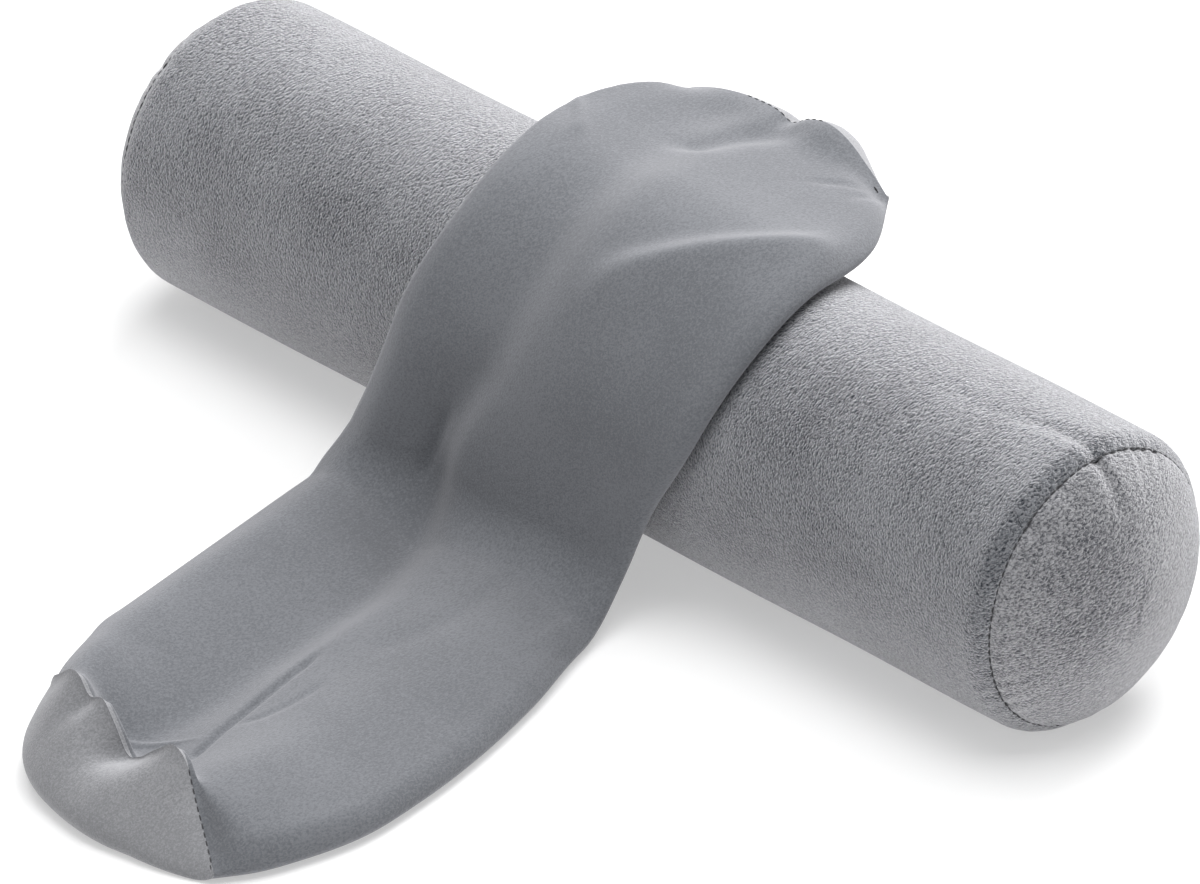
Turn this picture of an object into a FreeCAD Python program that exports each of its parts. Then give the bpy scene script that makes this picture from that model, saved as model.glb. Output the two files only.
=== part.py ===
import FreeCAD, Part
import math
import os

# A stuffed neck roll and a second, empty cover of the same kind lying across it.
# Millimetres. X runs along the roll, +Z is up, and -Y is the side where the empty
# cover reaches the floor. The origin is on the floor, in the middle of the flat
# that the roll rests on.

Vector = FreeCAD.Vector

# The roll: a sewn tube of cloth, closed by a domed disc at each end
ROLL_RADIUS = 51.0
SEAM_X = 196.0
SEAM_RADIUS = 46.4
SHOULDER_X = 189.0
DOME_RISE = 20.4
RESTING_DENT = 1.5
AXIS_HEIGHT = ROLL_RADIUS - RESTING_DENT

# Its layers, from the outside inwards
CLOTH = 1.8
LINING = 0.6
ZIP_ROOM = 1.0
LAYER_GAP = 0.3
SEAM_ALLOWANCE_RADIUS = 38.0
ALLOWANCE_GAP = 0.5

# Sewing thread
THREAD_RADIUS = 0.4
THREAD_GROOVE = 0.05
STITCH_OFFSET = 6.5
STITCH_WIDTH = 0.5
STITCH_SINK = 0.3

# The zips, of one stock size: a nylon coil on woven tape with a metal slider
ZIP_ANGLE = 75.0
ZIP_SLOT_HALF_WIDTH = 4.2
ZIP_SLOT_HALF_LENGTH = 172.0
ZIP_CHANNEL_FLAT = 46.3
TAPE_THICKNESS = 0.6
TAPE_REACH = 12.5
TAPE_LEVEL = 48.7
COIL_INNER = 0.1
COIL_OUTER = 2.2
COIL_HALF_HEIGHT = 0.9
COIL_START_X = -165.0
SLIDER_X = 158.0
SLIDER_HALF_LENGTH = 5.0
SLIDER_HALF_WIDTH = 3.6
SLIDER_HALF_HEIGHT = 2.0
SLIDER_PLATE = 0.8
SLIDER_LIP = 0.7
SLIDER_SLIT = 0.5
BAIL_TOP = 4.3
PIVOT_HEIGHT = 2.8
PIVOT_RADIUS = 0.45
PULL_LENGTH = 24.0
PULL_HALF_WIDTH = 3.0
STOP_LENGTH = 3.0
STOP_GAP = 0.3

# The empty cover: a flattened tube that lies on the floor, climbs the roll,
# goes over it and ends in the air behind it
COVER_HALF_THICKNESS = 7.0
COVER_LIFT = 0.3
CLIMB_ANGLE = 78.0
DROOP_ANGLE = 8.0
END_DROOP_ANGLE = 26.0
FLOOR_BEND_RADIUS = 24.0
END_BEND_RADIUS = 30.0
DROOP_RUN = 77.0
END_RUN = 18.0
NEAR_FRONT_Y = -277.0
NEAR_HEIGHT = 32.0
NEAR_SEAM_POINT = Vector(77.0, -262.0, 0.0)
NEAR_SEAM_TURN = -14.6
TAPE_FOLD = 10.0
COVER_ZIP_NEAR = Vector(-49.5, -196.0, 0.0)
COVER_ZIP_FAR = Vector(-67.0, -98.0, 0.0)
COVER_SLIDER_Y = -186.0
COVER_ZIP_END_Y = 62.0

# The empty cover seen from above: corners as x, y and the radius that rounds them
COVER_PLAN = [
    (-54.0, 104.0, 40.0),
    (-66.0, 48.0, 40.0),
    (-47.0, -40.0, 30.0),
    (-71.3, -74.0, 20.0),
    (COVER_ZIP_NEAR.x, COVER_ZIP_NEAR.y, 60.0),
    (-39.5, -240.0, 26.0),
    (4.0, -277.0, 30.0),
    (71.0, -277.0, 30.0),
    (90.0, -226.0, 40.0),
    (86.0, -168.0, 60.0),
    (52.0, -69.0, 20.0),
    (80.0, -46.0, 24.0),
    (78.0, -4.0, 60.0),
    (62.0, 44.0, 40.0),
    (36.0, 104.0, 34.0),
]

BIG = 400.0


def turned(wire_edges):
    """Solid made by turning a closed outline in the XZ plane about the roll's axis."""
    face = Part.Face(Part.Wire(wire_edges))
    return face.revolve(Vector(0, 0, AXIS_HEIGHT), Vector(1, 0, 0), 360)


def at(x, radius):
    """Point in the XZ plane, at a distance above the roll's axis."""
    return Vector(x, 0, AXIS_HEIGHT + radius)


def arc(first, middle, last):
    """Arc through three points."""
    return Part.Arc(first, middle, last).toShape()


def arc_about(centre_x, centre_radius, radius, start, end):
    """Arc in the XZ plane about a point beside the axis, between two angles from +X."""
    marks = []
    for angle in (start, (start + end) / 2, end):
        x = centre_x + radius * math.cos(angle)
        marks.append(at(x, centre_radius + radius * math.sin(angle)))
    return arc(*marks)


def shoulder_centre():
    """Distance from the axis of the centre of the arc that leads from tube to seam."""
    width = SEAM_X - SHOULDER_X
    drop = ROLL_RADIUS - SEAM_RADIUS
    return ROLL_RADIUS - (width**2 + drop**2) / (2 * drop)


def barrel(radius, end_x):
    """Round tube of the roll, solid, with its two rounded shoulders cut off at end_x."""
    centre = shoulder_centre()
    bend = radius - centre
    cut = math.acos((end_x - SHOULDER_X) / bend)
    right = arc_about(SHOULDER_X, centre, bend, math.pi / 2, cut)
    left = arc_about(-SHOULDER_X, centre, bend, math.pi - cut, math.pi / 2)
    end_radius = centre + bend * math.sin(cut)
    return turned([
        Part.makeLine(at(-end_x, 0), at(-end_x, end_radius)),
        left,
        Part.makeLine(at(-SHOULDER_X, radius), at(SHOULDER_X, radius)),
        right,
        Part.makeLine(at(end_x, end_radius), at(end_x, 0)),
        Part.makeLine(at(end_x, 0), at(-end_x, 0)),
    ])


def dome(inset, start_x):
    """Ball-shaped cap of the right end, solid from start_x outwards, set in by inset."""
    ball = (SEAM_RADIUS**2 + DOME_RISE**2) / (2 * DOME_RISE)
    centre_x = SEAM_X + DOME_RISE - ball
    radius = ball - inset
    start = math.acos((start_x - centre_x) / radius)
    rim = radius * math.sin(start)
    return turned([
        Part.makeLine(at(start_x, 0), at(start_x, rim)),
        arc_about(centre_x, 0, radius, start, 0),
        Part.makeLine(at(centre_x + radius, 0), at(start_x, 0)),
    ])


def bar(radius, start_x, end_x):
    """Round bar on the roll's axis."""
    foot = Vector(start_x, 0, AXIS_HEIGHT)
    return Part.makeCylinder(radius, end_x - start_x, foot, Vector(1, 0, 0))


def block(low, high):
    """Box between two corners."""
    size = high.sub(low)
    return Part.makeBox(size.x, size.y, size.z, low)


def above(shape, height):
    """What is left of a shape above a height, for a layer flattened by the floor."""
    return shape.cut(block(Vector(-BIG, -BIG, -BIG), Vector(BIG, BIG, height)))


def to_zip(shape):
    """Put a shape drawn at the top of the roll, from its axis, where its zip is."""
    placed = shape.copy()
    placed.translate(Vector(0, 0, AXIS_HEIGHT))
    placed.rotate(Vector(0, 0, AXIS_HEIGHT), Vector(1, 0, 0), -ZIP_ANGLE)
    return placed


def behind_zip(shape, level):
    """A layer with a flat along the zip, where the slider's inner plate needs room."""
    return shape.cut(to_zip(block(Vector(-BIG, -BIG, level), Vector(BIG, BIG, BIG))))


def mirrored(shape):
    """The same shape at the left end of the roll."""
    return shape.mirror(Vector(0, 0, 0), Vector(1, 0, 0))


def seam_ring(radius):
    """Ring around the right end seam."""
    return Part.makeTorus(
        SEAM_RADIUS + THREAD_RADIUS / 2, radius, Vector(SEAM_X, 0, AXIS_HEIGHT), Vector(1, 0, 0)
    )


def stitch_rows(width, top, half_length):
    """Two rows along the zip, on its two sides."""
    rows = []
    for side in (-1, 1):
        middle = side * STITCH_OFFSET
        low = Vector(-half_length, middle - width / 2, ROLL_RADIUS - 2 * STITCH_SINK)
        high = Vector(half_length, middle + width / 2, top)
        rows.append(to_zip(block(low, high)))
    return rows


def roll_cover():
    """Velvet tube and its two domed ends, with seam allowances turned inwards."""
    inside_x = SEAM_X - CLOTH
    tube = above(barrel(ROLL_RADIUS, SEAM_X), 0)
    tube = tube.cut(above(barrel(ROLL_RADIUS - CLOTH, inside_x), CLOTH))
    tube = tube.cut(bar(SEAM_ALLOWANCE_RADIUS, -SEAM_X, SEAM_X))
    slot = block(
        Vector(-ZIP_SLOT_HALF_LENGTH, -ZIP_SLOT_HALF_WIDTH, SEAM_ALLOWANCE_RADIUS),
        Vector(ZIP_SLOT_HALF_LENGTH, ZIP_SLOT_HALF_WIDTH, ROLL_RADIUS + CLOTH),
    )
    tube = tube.cut(to_zip(slot))
    for groove in stitch_rows(STITCH_WIDTH + 0.1, ROLL_RADIUS + CLOTH, ZIP_SLOT_HALF_LENGTH + 0.1):
        tube = tube.cut(groove)
    end = dome(0, SEAM_X).cut(dome(CLOTH, SEAM_X + CLOTH))
    end = end.cut(bar(SEAM_ALLOWANCE_RADIUS, SEAM_X, SEAM_X + CLOTH))
    ring_groove = seam_ring(THREAD_RADIUS + THREAD_GROOVE)
    tube = tube.cut(ring_groove).cut(mirrored(ring_groove))
    end = end.cut(ring_groove)
    return tube, end


def roll_lining():
    """Thin lining that holds the foam: a tube with a neck at each seam, and two ends."""
    outer = ROLL_RADIUS - CLOTH - ZIP_ROOM
    outer_x = SEAM_X - CLOTH - 2 * LAYER_GAP
    neck = SEAM_ALLOWANCE_RADIUS - ALLOWANCE_GAP
    end_x = SEAM_X + CLOTH + LAYER_GAP
    tube = behind_zip(above(barrel(outer, outer_x), CLOTH + LAYER_GAP), ZIP_CHANNEL_FLAT)
    tube = tube.fuse(bar(neck, -end_x - LINING, end_x + LINING))
    hollow = above(barrel(outer - LINING, outer_x - LINING), CLOTH + LAYER_GAP + LINING)
    tube = tube.cut(behind_zip(hollow, ZIP_CHANNEL_FLAT - LINING))
    tube = tube.cut(bar(neck - LINING, -end_x - LINING, end_x + LINING))
    inset = CLOTH + LAYER_GAP
    end = dome(inset, end_x).cut(dome(inset + LINING, end_x + LINING))
    end = end.cut(bar(neck, end_x, end_x + LINING))
    return tube, end


def foam_core():
    """One piece of foam that fills the lining, pinched at both seams."""
    radius = ROLL_RADIUS - CLOTH - ZIP_ROOM - LINING - LAYER_GAP
    end_x = SEAM_X - CLOTH - 3 * LAYER_GAP - LINING
    floor = CLOTH + 2 * LAYER_GAP + LINING
    core = behind_zip(above(barrel(radius, end_x), floor), ZIP_CHANNEL_FLAT - LINING - LAYER_GAP)
    cap_x = SEAM_X + CLOTH + 2 * LAYER_GAP + LINING
    cap = dome(CLOTH + LINING + 2 * LAYER_GAP, cap_x)
    neck = bar(SEAM_ALLOWANCE_RADIUS - ALLOWANCE_GAP - LINING - LAYER_GAP, -cap_x, cap_x)
    return core.fuse(neck).fuse(cap).fuse(mirrored(cap)).removeSplitter()


def zip_slider():
    """Slider about its own centre: +X towards the shut end, +Z away from the cover."""
    plate_low = SLIDER_HALF_HEIGHT - SLIDER_PLATE
    slider = None
    for side in (-1, 1):
        low, high = sorted((side * plate_low, side * SLIDER_HALF_HEIGHT))
        plate = block(
            Vector(-SLIDER_HALF_LENGTH, -SLIDER_HALF_WIDTH, low),
            Vector(SLIDER_HALF_LENGTH, SLIDER_HALF_WIDTH, high),
        )
        slider = plate if slider is None else slider.fuse(plate)
        low, high = sorted((side * SLIDER_SLIT, side * plate_low))
        for edge in (-1, 1):
            near, far = sorted((edge * (SLIDER_HALF_WIDTH - SLIDER_LIP), edge * SLIDER_HALF_WIDTH))
            lip = block(
                Vector(-SLIDER_HALF_LENGTH, near, low), Vector(SLIDER_HALF_LENGTH, far, high)
            )
            slider = slider.fuse(lip)
    wedge_tip = Vector(1.2, 0, -plate_low)
    wedge_side = Vector(3.2, 1.1, -plate_low)
    wedge_end = Vector(4.6, 0, -plate_low)
    wedge_other = Vector(3.2, -1.1, -plate_low)
    wedge = Part.makePolygon([wedge_tip, wedge_side, wedge_end, wedge_other, wedge_tip])
    slider = slider.fuse(Part.Face(wedge).extrude(Vector(0, 0, 2 * plate_low)))
    bail = block(Vector(-3.2, -0.8, SLIDER_HALF_HEIGHT), Vector(3.2, 0.8, BAIL_TOP))
    eye = block(Vector(-1.9, -0.8, SLIDER_HALF_HEIGHT), Vector(1.9, 0.8, BAIL_TOP - SLIDER_PLATE))
    slider = slider.fuse(bail.cut(eye)).removeSplitter()
    corners = [e for e in slider.Edges if is_plate_corner(e)]
    return slider.makeFillet(1.2, corners)


def is_plate_corner(edge):
    """True for the upright edges at the four corners of the slider's plates."""
    first, last = edge.Vertexes[0].Point, edge.Vertexes[-1].Point
    upright = abs(first.x - last.x) < 0.01 and abs(first.y - last.y) < 0.01
    at_corner = abs(abs(first.x) - SLIDER_HALF_LENGTH) < 0.01
    return upright and at_corner and abs(abs(first.y) - SLIDER_HALF_WIDTH) < 0.01


def zip_pull():
    """Pull tab lying along -X, with its pivot bar through the slider's bail."""
    pivot = Part.makeCylinder(
        PIVOT_RADIUS,
        2 * PULL_HALF_WIDTH,
        Vector(0, -PULL_HALF_WIDTH, PIVOT_HEIGHT),
        Vector(0, 1, 0),
    )
    low = PIVOT_HEIGHT - PIVOT_RADIUS
    thickness = 2 * PIVOT_RADIUS
    tip_x = PULL_HALF_WIDTH - PULL_LENGTH
    plate = block(Vector(tip_x, -PULL_HALF_WIDTH, low), Vector(0, PULL_HALF_WIDTH, low + thickness))
    plate = plate.fuse(Part.makeCylinder(PULL_HALF_WIDTH, thickness, Vector(tip_x, 0, low)))
    window = block(Vector(-5.0, -2.0, low), Vector(2.0, 2.0, low + thickness))
    hole = Part.makeCylinder(1.3, thickness, Vector(tip_x, 0, low))
    return plate.cut(window).cut(hole).fuse(pivot).removeSplitter()


def roll_zip():
    """The roll's zip, drawn at the top of the roll and then turned to its place."""
    pieces = {}
    outer = TAPE_LEVEL + TAPE_THICKNESS / 2
    half = ZIP_SLOT_HALF_LENGTH + STOP_LENGTH
    ring = Part.makeCylinder(outer, 2 * half, Vector(-half, 0, 0), Vector(1, 0, 0))
    inner = Part.makeCylinder(outer - TAPE_THICKNESS, 2 * half, Vector(-half, 0, 0), Vector(1, 0, 0))
    ring = ring.cut(inner)
    coil_end = SLIDER_X + 0.5
    for name, side in (("upper", -1), ("lower", 1)):
        near, far = sorted((side * (COIL_OUTER + 0.05), side * TAPE_REACH))
        tape = ring.common(block(Vector(-half, near, 0), Vector(half, far, BIG)))
        pieces["zip_tape_" + name] = to_zip(tape)
        near, far = sorted((side * COIL_INNER, side * COIL_OUTER))
        coil = block(
            Vector(COIL_START_X, near, TAPE_LEVEL - COIL_HALF_HEIGHT),
            Vector(coil_end, far, TAPE_LEVEL + COIL_HALF_HEIGHT),
        )
        pieces["zip_coil_" + name] = to_zip(coil.makeFillet(0.5, long_edges(coil)))
    slider = zip_slider()
    slider.translate(Vector(SLIDER_X, 0, TAPE_LEVEL))
    pieces["zip_slider"] = to_zip(slider)
    pull = zip_pull()
    pull.translate(Vector(SLIDER_X, 0, TAPE_LEVEL))
    pieces["zip_pull"] = to_zip(pull)
    shut_x = SLIDER_X + SLIDER_HALF_LENGTH + STOP_GAP
    open_x = COIL_START_X - STOP_GAP
    stops = []
    for near, far, start in ((0.9, 2.2, shut_x), (-2.2, -0.9, shut_x), (-2.2, 2.2, open_x - STOP_LENGTH)):
        low = Vector(start, near, TAPE_LEVEL - COIL_HALF_HEIGHT)
        stops.append(to_zip(block(low, Vector(start + STOP_LENGTH, far, TAPE_LEVEL + COIL_HALF_HEIGHT))))
    pieces["zip_stops"] = Part.makeCompound(stops)
    threads = stitch_rows(STITCH_WIDTH, ROLL_RADIUS - STITCH_SINK, ZIP_SLOT_HALF_LENGTH)
    pieces["zip_stitching"] = Part.makeCompound(threads)
    return pieces


def long_edges(shape):
    """The edges of a long bar that run along X."""
    return [e for e in shape.Edges if e.BoundBox.XLength > SLIDER_HALF_LENGTH * 2]


def rounded(corners):
    """Closed wire in the XY plane through corners (x, y, radius), each turned by an arc."""
    runs = []
    bends = []
    count = len(corners)
    for i in range(count):
        before = Vector(corners[i - 1][0], corners[i - 1][1], 0)
        corner = Vector(corners[i][0], corners[i][1], 0)
        after = Vector(corners[(i + 1) % count][0], corners[(i + 1) % count][1], 0)
        back = before.sub(corner).normalize()
        onward = after.sub(corner).normalize()
        half_angle = back.getAngle(onward) / 2
        reach = corners[i][2] / math.tan(half_angle)
        inward = back.add(onward).normalize()
        crown = corners[i][2] * (1 / math.sin(half_angle) - 1)
        bends.append((
            corner.add(Vector(back).multiply(reach)),
            corner.add(inward.multiply(crown)),
            corner.add(Vector(onward).multiply(reach)),
        ))
    for i in range(count):
        runs.append(arc(*bends[i]))
        runs.append(Part.makeLine(bends[i][2], bends[(i + 1) % count][0]))
    return Part.Wire(runs)


def heading(degrees):
    """Direction in a side view, at an angle above the way to +Y."""
    return Vector(math.cos(math.radians(degrees)), math.sin(math.radians(degrees)), 0)


def strip_line(offset):
    """Corners of the empty cover's side view, at a distance above its middle line.

    The middle line runs along the floor, bends up to the climb, turns over the roll in
    an arc about the roll's axis, droops behind it and bends down once more at the end.
    """
    headings = [heading(0), heading(CLIMB_ANGLE), heading(-DROOP_ANGLE), heading(-END_DROOP_ANGLE)]
    over = ROLL_RADIUS + COVER_LIFT + COVER_HALF_THICKNESS
    half_turn = math.radians(CLIMB_ANGLE + DROOP_ANGLE) / 2
    lean = math.radians(CLIMB_ANGLE - DROOP_ANGLE) / 2
    reach = over / math.cos(half_turn)
    top = Vector(-reach * math.sin(lean), AXIS_HEIGHT + reach * math.cos(lean), 0)
    rise = top.y - COVER_HALF_THICKNESS
    foot = Vector(top.x - rise / math.tan(math.radians(CLIMB_ANGLE)), COVER_HALF_THICKNESS, 0)
    last = top.add(heading(-DROOP_ANGLE).multiply(over * math.tan(half_turn) + DROOP_RUN))
    corners = []
    bends = [
        (foot, FLOOR_BEND_RADIUS - offset),
        (top, over + offset),
        (last, END_BEND_RADIUS + offset),
    ]
    for i, (corner, radius) in enumerate(bends):
        left_in = Vector(-headings[i].y, headings[i].x, 0)
        left_out = Vector(-headings[i + 1].y, headings[i + 1].x, 0)
        shift = left_in.add(left_out).multiply(offset / (1 + left_in.dot(left_out)))
        moved = corner.add(shift)
        corners.append((moved.x, moved.y, radius))
    tip = last.add(heading(-END_DROOP_ANGLE).multiply(END_RUN))
    tip = tip.add(Vector(-headings[3].y, headings[3].x, 0).multiply(offset))
    corners.append((tip.x, tip.y, 0.9 * COVER_HALF_THICKNESS))
    return corners


def side_view():
    """Corners of the empty cover's side view: a strip with a taller end on the floor."""
    top = strip_line(COVER_HALF_THICKNESS)
    top.reverse()
    strip_top = 2 * COVER_HALF_THICKNESS
    near_end = [
        (-176.0, strip_top, 60.0),
        (-226.0, NEAR_HEIGHT, 40.0),
        (NEAR_FRONT_Y, NEAR_HEIGHT - 4.0, 14.0),
        (NEAR_FRONT_Y, 0.0, 8.0),
    ]
    return near_end + strip_line(-COVER_HALF_THICKNESS) + top


def set_in(corners, inset):
    """The corners of an outline drawn anticlockwise, moved inwards with its rounded edge."""
    moved = []
    count = len(corners)
    for i in range(count):
        before = Vector(corners[i - 1][0], corners[i - 1][1], 0)
        corner = Vector(corners[i][0], corners[i][1], 0)
        after = Vector(corners[(i + 1) % count][0], corners[(i + 1) % count][1], 0)
        onto = corner.sub(before).normalize()
        onward = after.sub(corner).normalize()
        inward_in = Vector(-onto.y, onto.x, 0)
        inward_out = Vector(-onward.y, onward.x, 0)
        shift = inward_in.add(inward_out).multiply(inset / (1 + inward_in.dot(inward_out)))
        bulges_out = onto.cross(onward).z > 0
        radius = corners[i][2] - inset if bulges_out else corners[i][2] + inset
        moved.append((corner.x + shift.x, corner.y + shift.y, radius))
    return moved


def stand_up(face):
    """Side view faces are drawn as (y, z); this turns one and gives it its width along X."""
    swing = FreeCAD.Placement(
        Vector(-BIG, 0, 0),
        FreeCAD.Rotation(Vector(0, 1, 0), Vector(0, 0, 1), Vector(1, 0, 0), "XYZ"),
    )
    placed = face.copy()
    placed.Placement = swing.multiply(placed.Placement)
    return placed.extrude(Vector(2 * BIG, 0, 0))


def plan_prism(inset):
    """The empty cover's outline from above, set in, as an upright prism."""
    face = Part.Face(rounded(set_in(COVER_PLAN, inset)))
    face.translate(Vector(0, 0, -BIG))
    return face.extrude(Vector(0, 0, 2 * BIG))


def cover_solid(inset):
    """The empty cover as one solid, set in on every side."""
    return stand_up(Part.Face(rounded(set_in(side_view(), inset)))).common(plan_prism(inset))


def near_side():
    """Everything on the near side of the seam of the near end disc."""
    half_space = block(Vector(-BIG, -2 * BIG, -BIG), Vector(BIG, 0, BIG))
    half_space.rotate(Vector(0, 0, 0), Vector(0, 0, 1), NEAR_SEAM_TURN)
    half_space.translate(NEAR_SEAM_POINT)
    return half_space


def far_side():
    """Everything behind the seam of the far end disc."""
    seam_y = strip_line(0)[2][0]
    return block(Vector(-BIG, seam_y, -BIG), Vector(BIG, 2 * BIG, BIG))


def empty_cover():
    """Tube, two end discs and the thread of their seams."""
    shell = cover_solid(0).cut(cover_solid(CLOTH))
    skin = cover_solid(0).cut(cover_solid(THREAD_RADIUS))
    width = 2 * THREAD_RADIUS
    near, far = near_side(), far_side()
    near_shifted = near.copy()
    near_shifted.translate(Vector(0, width, 0))
    far_shifted = far.copy()
    far_shifted.translate(Vector(0, -width, 0))
    near_thread = skin.common(near_shifted).cut(near)
    far_thread = skin.common(far_shifted).cut(far)
    tube = shell.cut(near).cut(far).cut(near_thread).cut(far_thread)
    return {
        "spare_tube": tube,
        "spare_end_near": shell.common(near),
        "spare_end_far": shell.common(far),
        "spare_seam_thread_near": near_thread,
        "spare_seam_thread_far": far_thread,
    }


def strip_band(low, high):
    """Thin band along the strip, between two distances above its middle line."""
    edge_low = strip_line(low)[:3]
    edge_high = strip_line(high)[:3]
    tip_low = strip_line(low)[3]
    tip_high = strip_line(high)[3]
    start = NEAR_FRONT_Y
    middle = COVER_HALF_THICKNESS
    ends_low = [(start, middle + low, 0.02)] + edge_low + [(tip_low[0], tip_low[1], 0.02)]
    ends_high = [(start, middle + high, 0.02)] + edge_high + [(tip_high[0], tip_high[1], 0.02)]
    ends_high.reverse()
    return stand_up(Part.Face(rounded(ends_low + ends_high)))


def edge_layer(inset_outer, inset_inner, start_y, end_y):
    """Upright layer along the left edge of the empty cover, between two insets."""
    ring = plan_prism(inset_outer).cut(plan_prism(inset_inner))
    return ring.common(block(Vector(-BIG, start_y, -BIG), Vector(0, end_y, BIG)))


def cover_zip_placement():
    """Where the empty cover's slider sits: +X to the shut end, +Z out of the edge."""
    along = COVER_ZIP_NEAR.sub(COVER_ZIP_FAR).normalize()
    outward = Vector(0, 0, 1).cross(along).normalize().multiply(-1)
    share = (COVER_SLIDER_Y - COVER_ZIP_FAR.y) / (COVER_ZIP_NEAR.y - COVER_ZIP_FAR.y)
    on_edge = COVER_ZIP_FAR.add(COVER_ZIP_NEAR.sub(COVER_ZIP_FAR).multiply(share))
    tape_inset = CLOTH + LAYER_GAP + TAPE_THICKNESS / 2
    centre = on_edge.sub(Vector(outward).multiply(tape_inset))
    centre.z = COVER_HALF_THICKNESS
    return FreeCAD.Placement(centre, FreeCAD.Rotation(along, Vector(0, 0, 1), outward, "XYZ"))


def cover_zip(tube):
    """The empty cover's zip in its left edge, and its tube with the slot cut for it."""
    pieces = {}
    place = cover_zip_placement()
    start_y = COVER_SLIDER_Y - SLIDER_HALF_LENGTH - STOP_LENGTH - 2.0
    slot_half = ZIP_SLOT_HALF_WIDTH
    slot = strip_band(-slot_half, slot_half).common(edge_layer(0, CLOTH + 2.0, start_y, COVER_ZIP_END_Y))
    tape_in = CLOTH + LAYER_GAP
    tape_back = tape_in + TAPE_THICKNESS
    hollow_half = COVER_HALF_THICKNESS - CLOTH - LAYER_GAP
    coil_in = tape_in + TAPE_THICKNESS / 2 - COIL_HALF_HEIGHT
    coil_back = coil_in + 2 * COIL_HALF_HEIGHT
    coil_start_y = COVER_SLIDER_Y
    for name, side in (("upper", 1), ("lower", -1)):
        low, high = sorted((side * (COIL_OUTER + 0.05), side * hollow_half))
        leg = strip_band(low, high).common(edge_layer(tape_in, tape_back, start_y, COVER_ZIP_END_Y))
        low, high = sorted((side * (hollow_half - TAPE_THICKNESS), side * hollow_half))
        fold = strip_band(low, high).common(edge_layer(tape_in, TAPE_FOLD, start_y, COVER_ZIP_END_Y))
        pieces["spare_zip_tape_" + name] = leg.fuse(fold).removeSplitter()
        low, high = sorted((side * COIL_INNER, side * COIL_OUTER))
        coil_end_y = COVER_ZIP_END_Y - STOP_LENGTH - STOP_GAP
        coil = strip_band(low, high).common(edge_layer(coil_in, coil_back, coil_start_y, coil_end_y))
        pieces["spare_zip_coil_" + name] = coil
    slider = zip_slider()
    slider.Placement = place
    pieces["spare_zip_slider"] = slider
    pull = zip_pull()
    pull.Placement = place
    pieces["spare_zip_pull"] = pull
    stops = []
    shut_x = SLIDER_HALF_LENGTH + STOP_GAP
    for near, far in ((0.9, 2.2), (-2.2, -0.9)):
        low = Vector(shut_x, near, -COIL_HALF_HEIGHT)
        stop = block(low, Vector(shut_x + STOP_LENGTH, far, COIL_HALF_HEIGHT))
        stop.Placement = place
        stops.append(stop)
    open_layer = edge_layer(coil_in, coil_back, COVER_ZIP_END_Y - STOP_LENGTH, COVER_ZIP_END_Y)
    stops.append(strip_band(-COIL_OUTER, COIL_OUTER).common(open_layer))
    pieces["spare_zip_stops"] = Part.makeCompound(stops)
    return pieces, tube.cut(slot)


def model():
    """Every piece by its node's name."""
    pieces = {"foam_core": foam_core()}
    pieces["liner_tube"], liner_end = roll_lining()
    pieces["liner_end_right"] = liner_end
    pieces["liner_end_left"] = mirrored(liner_end)
    pieces["cover_tube"], cover_end = roll_cover()
    pieces["cover_end_right"] = cover_end
    pieces["cover_end_left"] = mirrored(cover_end)
    pieces["seam_thread_right"] = seam_ring(THREAD_RADIUS)
    pieces["seam_thread_left"] = mirrored(seam_ring(THREAD_RADIUS))
    pieces.update(roll_zip())
    pieces.update(empty_cover())
    zip_pieces, slotted_tube = cover_zip(pieces["spare_tube"])
    pieces.update(zip_pieces)
    pieces["spare_tube"] = slotted_tube
    return pieces


os.makedirs("parts", exist_ok=True)
for node, shape in model().items():
    shape.exportStep("parts/" + node + ".step")
    box = shape.BoundBox
    print(node, shape.isValid(), len(shape.Solids), "solids", round(shape.Volume), "mm3", box)
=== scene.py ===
import math

import bpy
import numpy as np
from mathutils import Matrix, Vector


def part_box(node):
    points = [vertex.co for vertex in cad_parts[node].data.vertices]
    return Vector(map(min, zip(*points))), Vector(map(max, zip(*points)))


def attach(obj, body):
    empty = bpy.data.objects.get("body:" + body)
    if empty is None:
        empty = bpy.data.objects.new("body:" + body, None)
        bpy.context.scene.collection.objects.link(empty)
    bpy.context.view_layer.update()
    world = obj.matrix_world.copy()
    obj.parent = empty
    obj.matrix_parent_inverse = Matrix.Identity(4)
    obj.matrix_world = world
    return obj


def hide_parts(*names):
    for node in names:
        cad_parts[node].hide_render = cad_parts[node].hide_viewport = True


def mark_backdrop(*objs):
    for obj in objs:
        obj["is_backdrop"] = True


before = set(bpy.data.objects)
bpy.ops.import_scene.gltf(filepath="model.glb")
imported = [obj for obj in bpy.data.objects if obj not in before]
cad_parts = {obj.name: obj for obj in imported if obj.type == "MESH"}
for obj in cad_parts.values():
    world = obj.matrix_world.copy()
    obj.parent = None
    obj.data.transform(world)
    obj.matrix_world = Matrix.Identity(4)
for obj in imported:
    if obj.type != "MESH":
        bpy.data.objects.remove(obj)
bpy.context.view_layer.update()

# Camera and studio.
# A long lens looks down on the roll's near end from the right. The table top is plain
# and nearly white. Large soft lights stand behind the roll and over it, and weaker ones
# fill in from the right and the front left.
view_azimuth = math.radians(45.43)
view_elevation = math.radians(31.15)
view_distance = 4.5614
roll_axis_height = 0.0495
aim_left = 0.01555
aim_down = 0.0272

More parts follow.
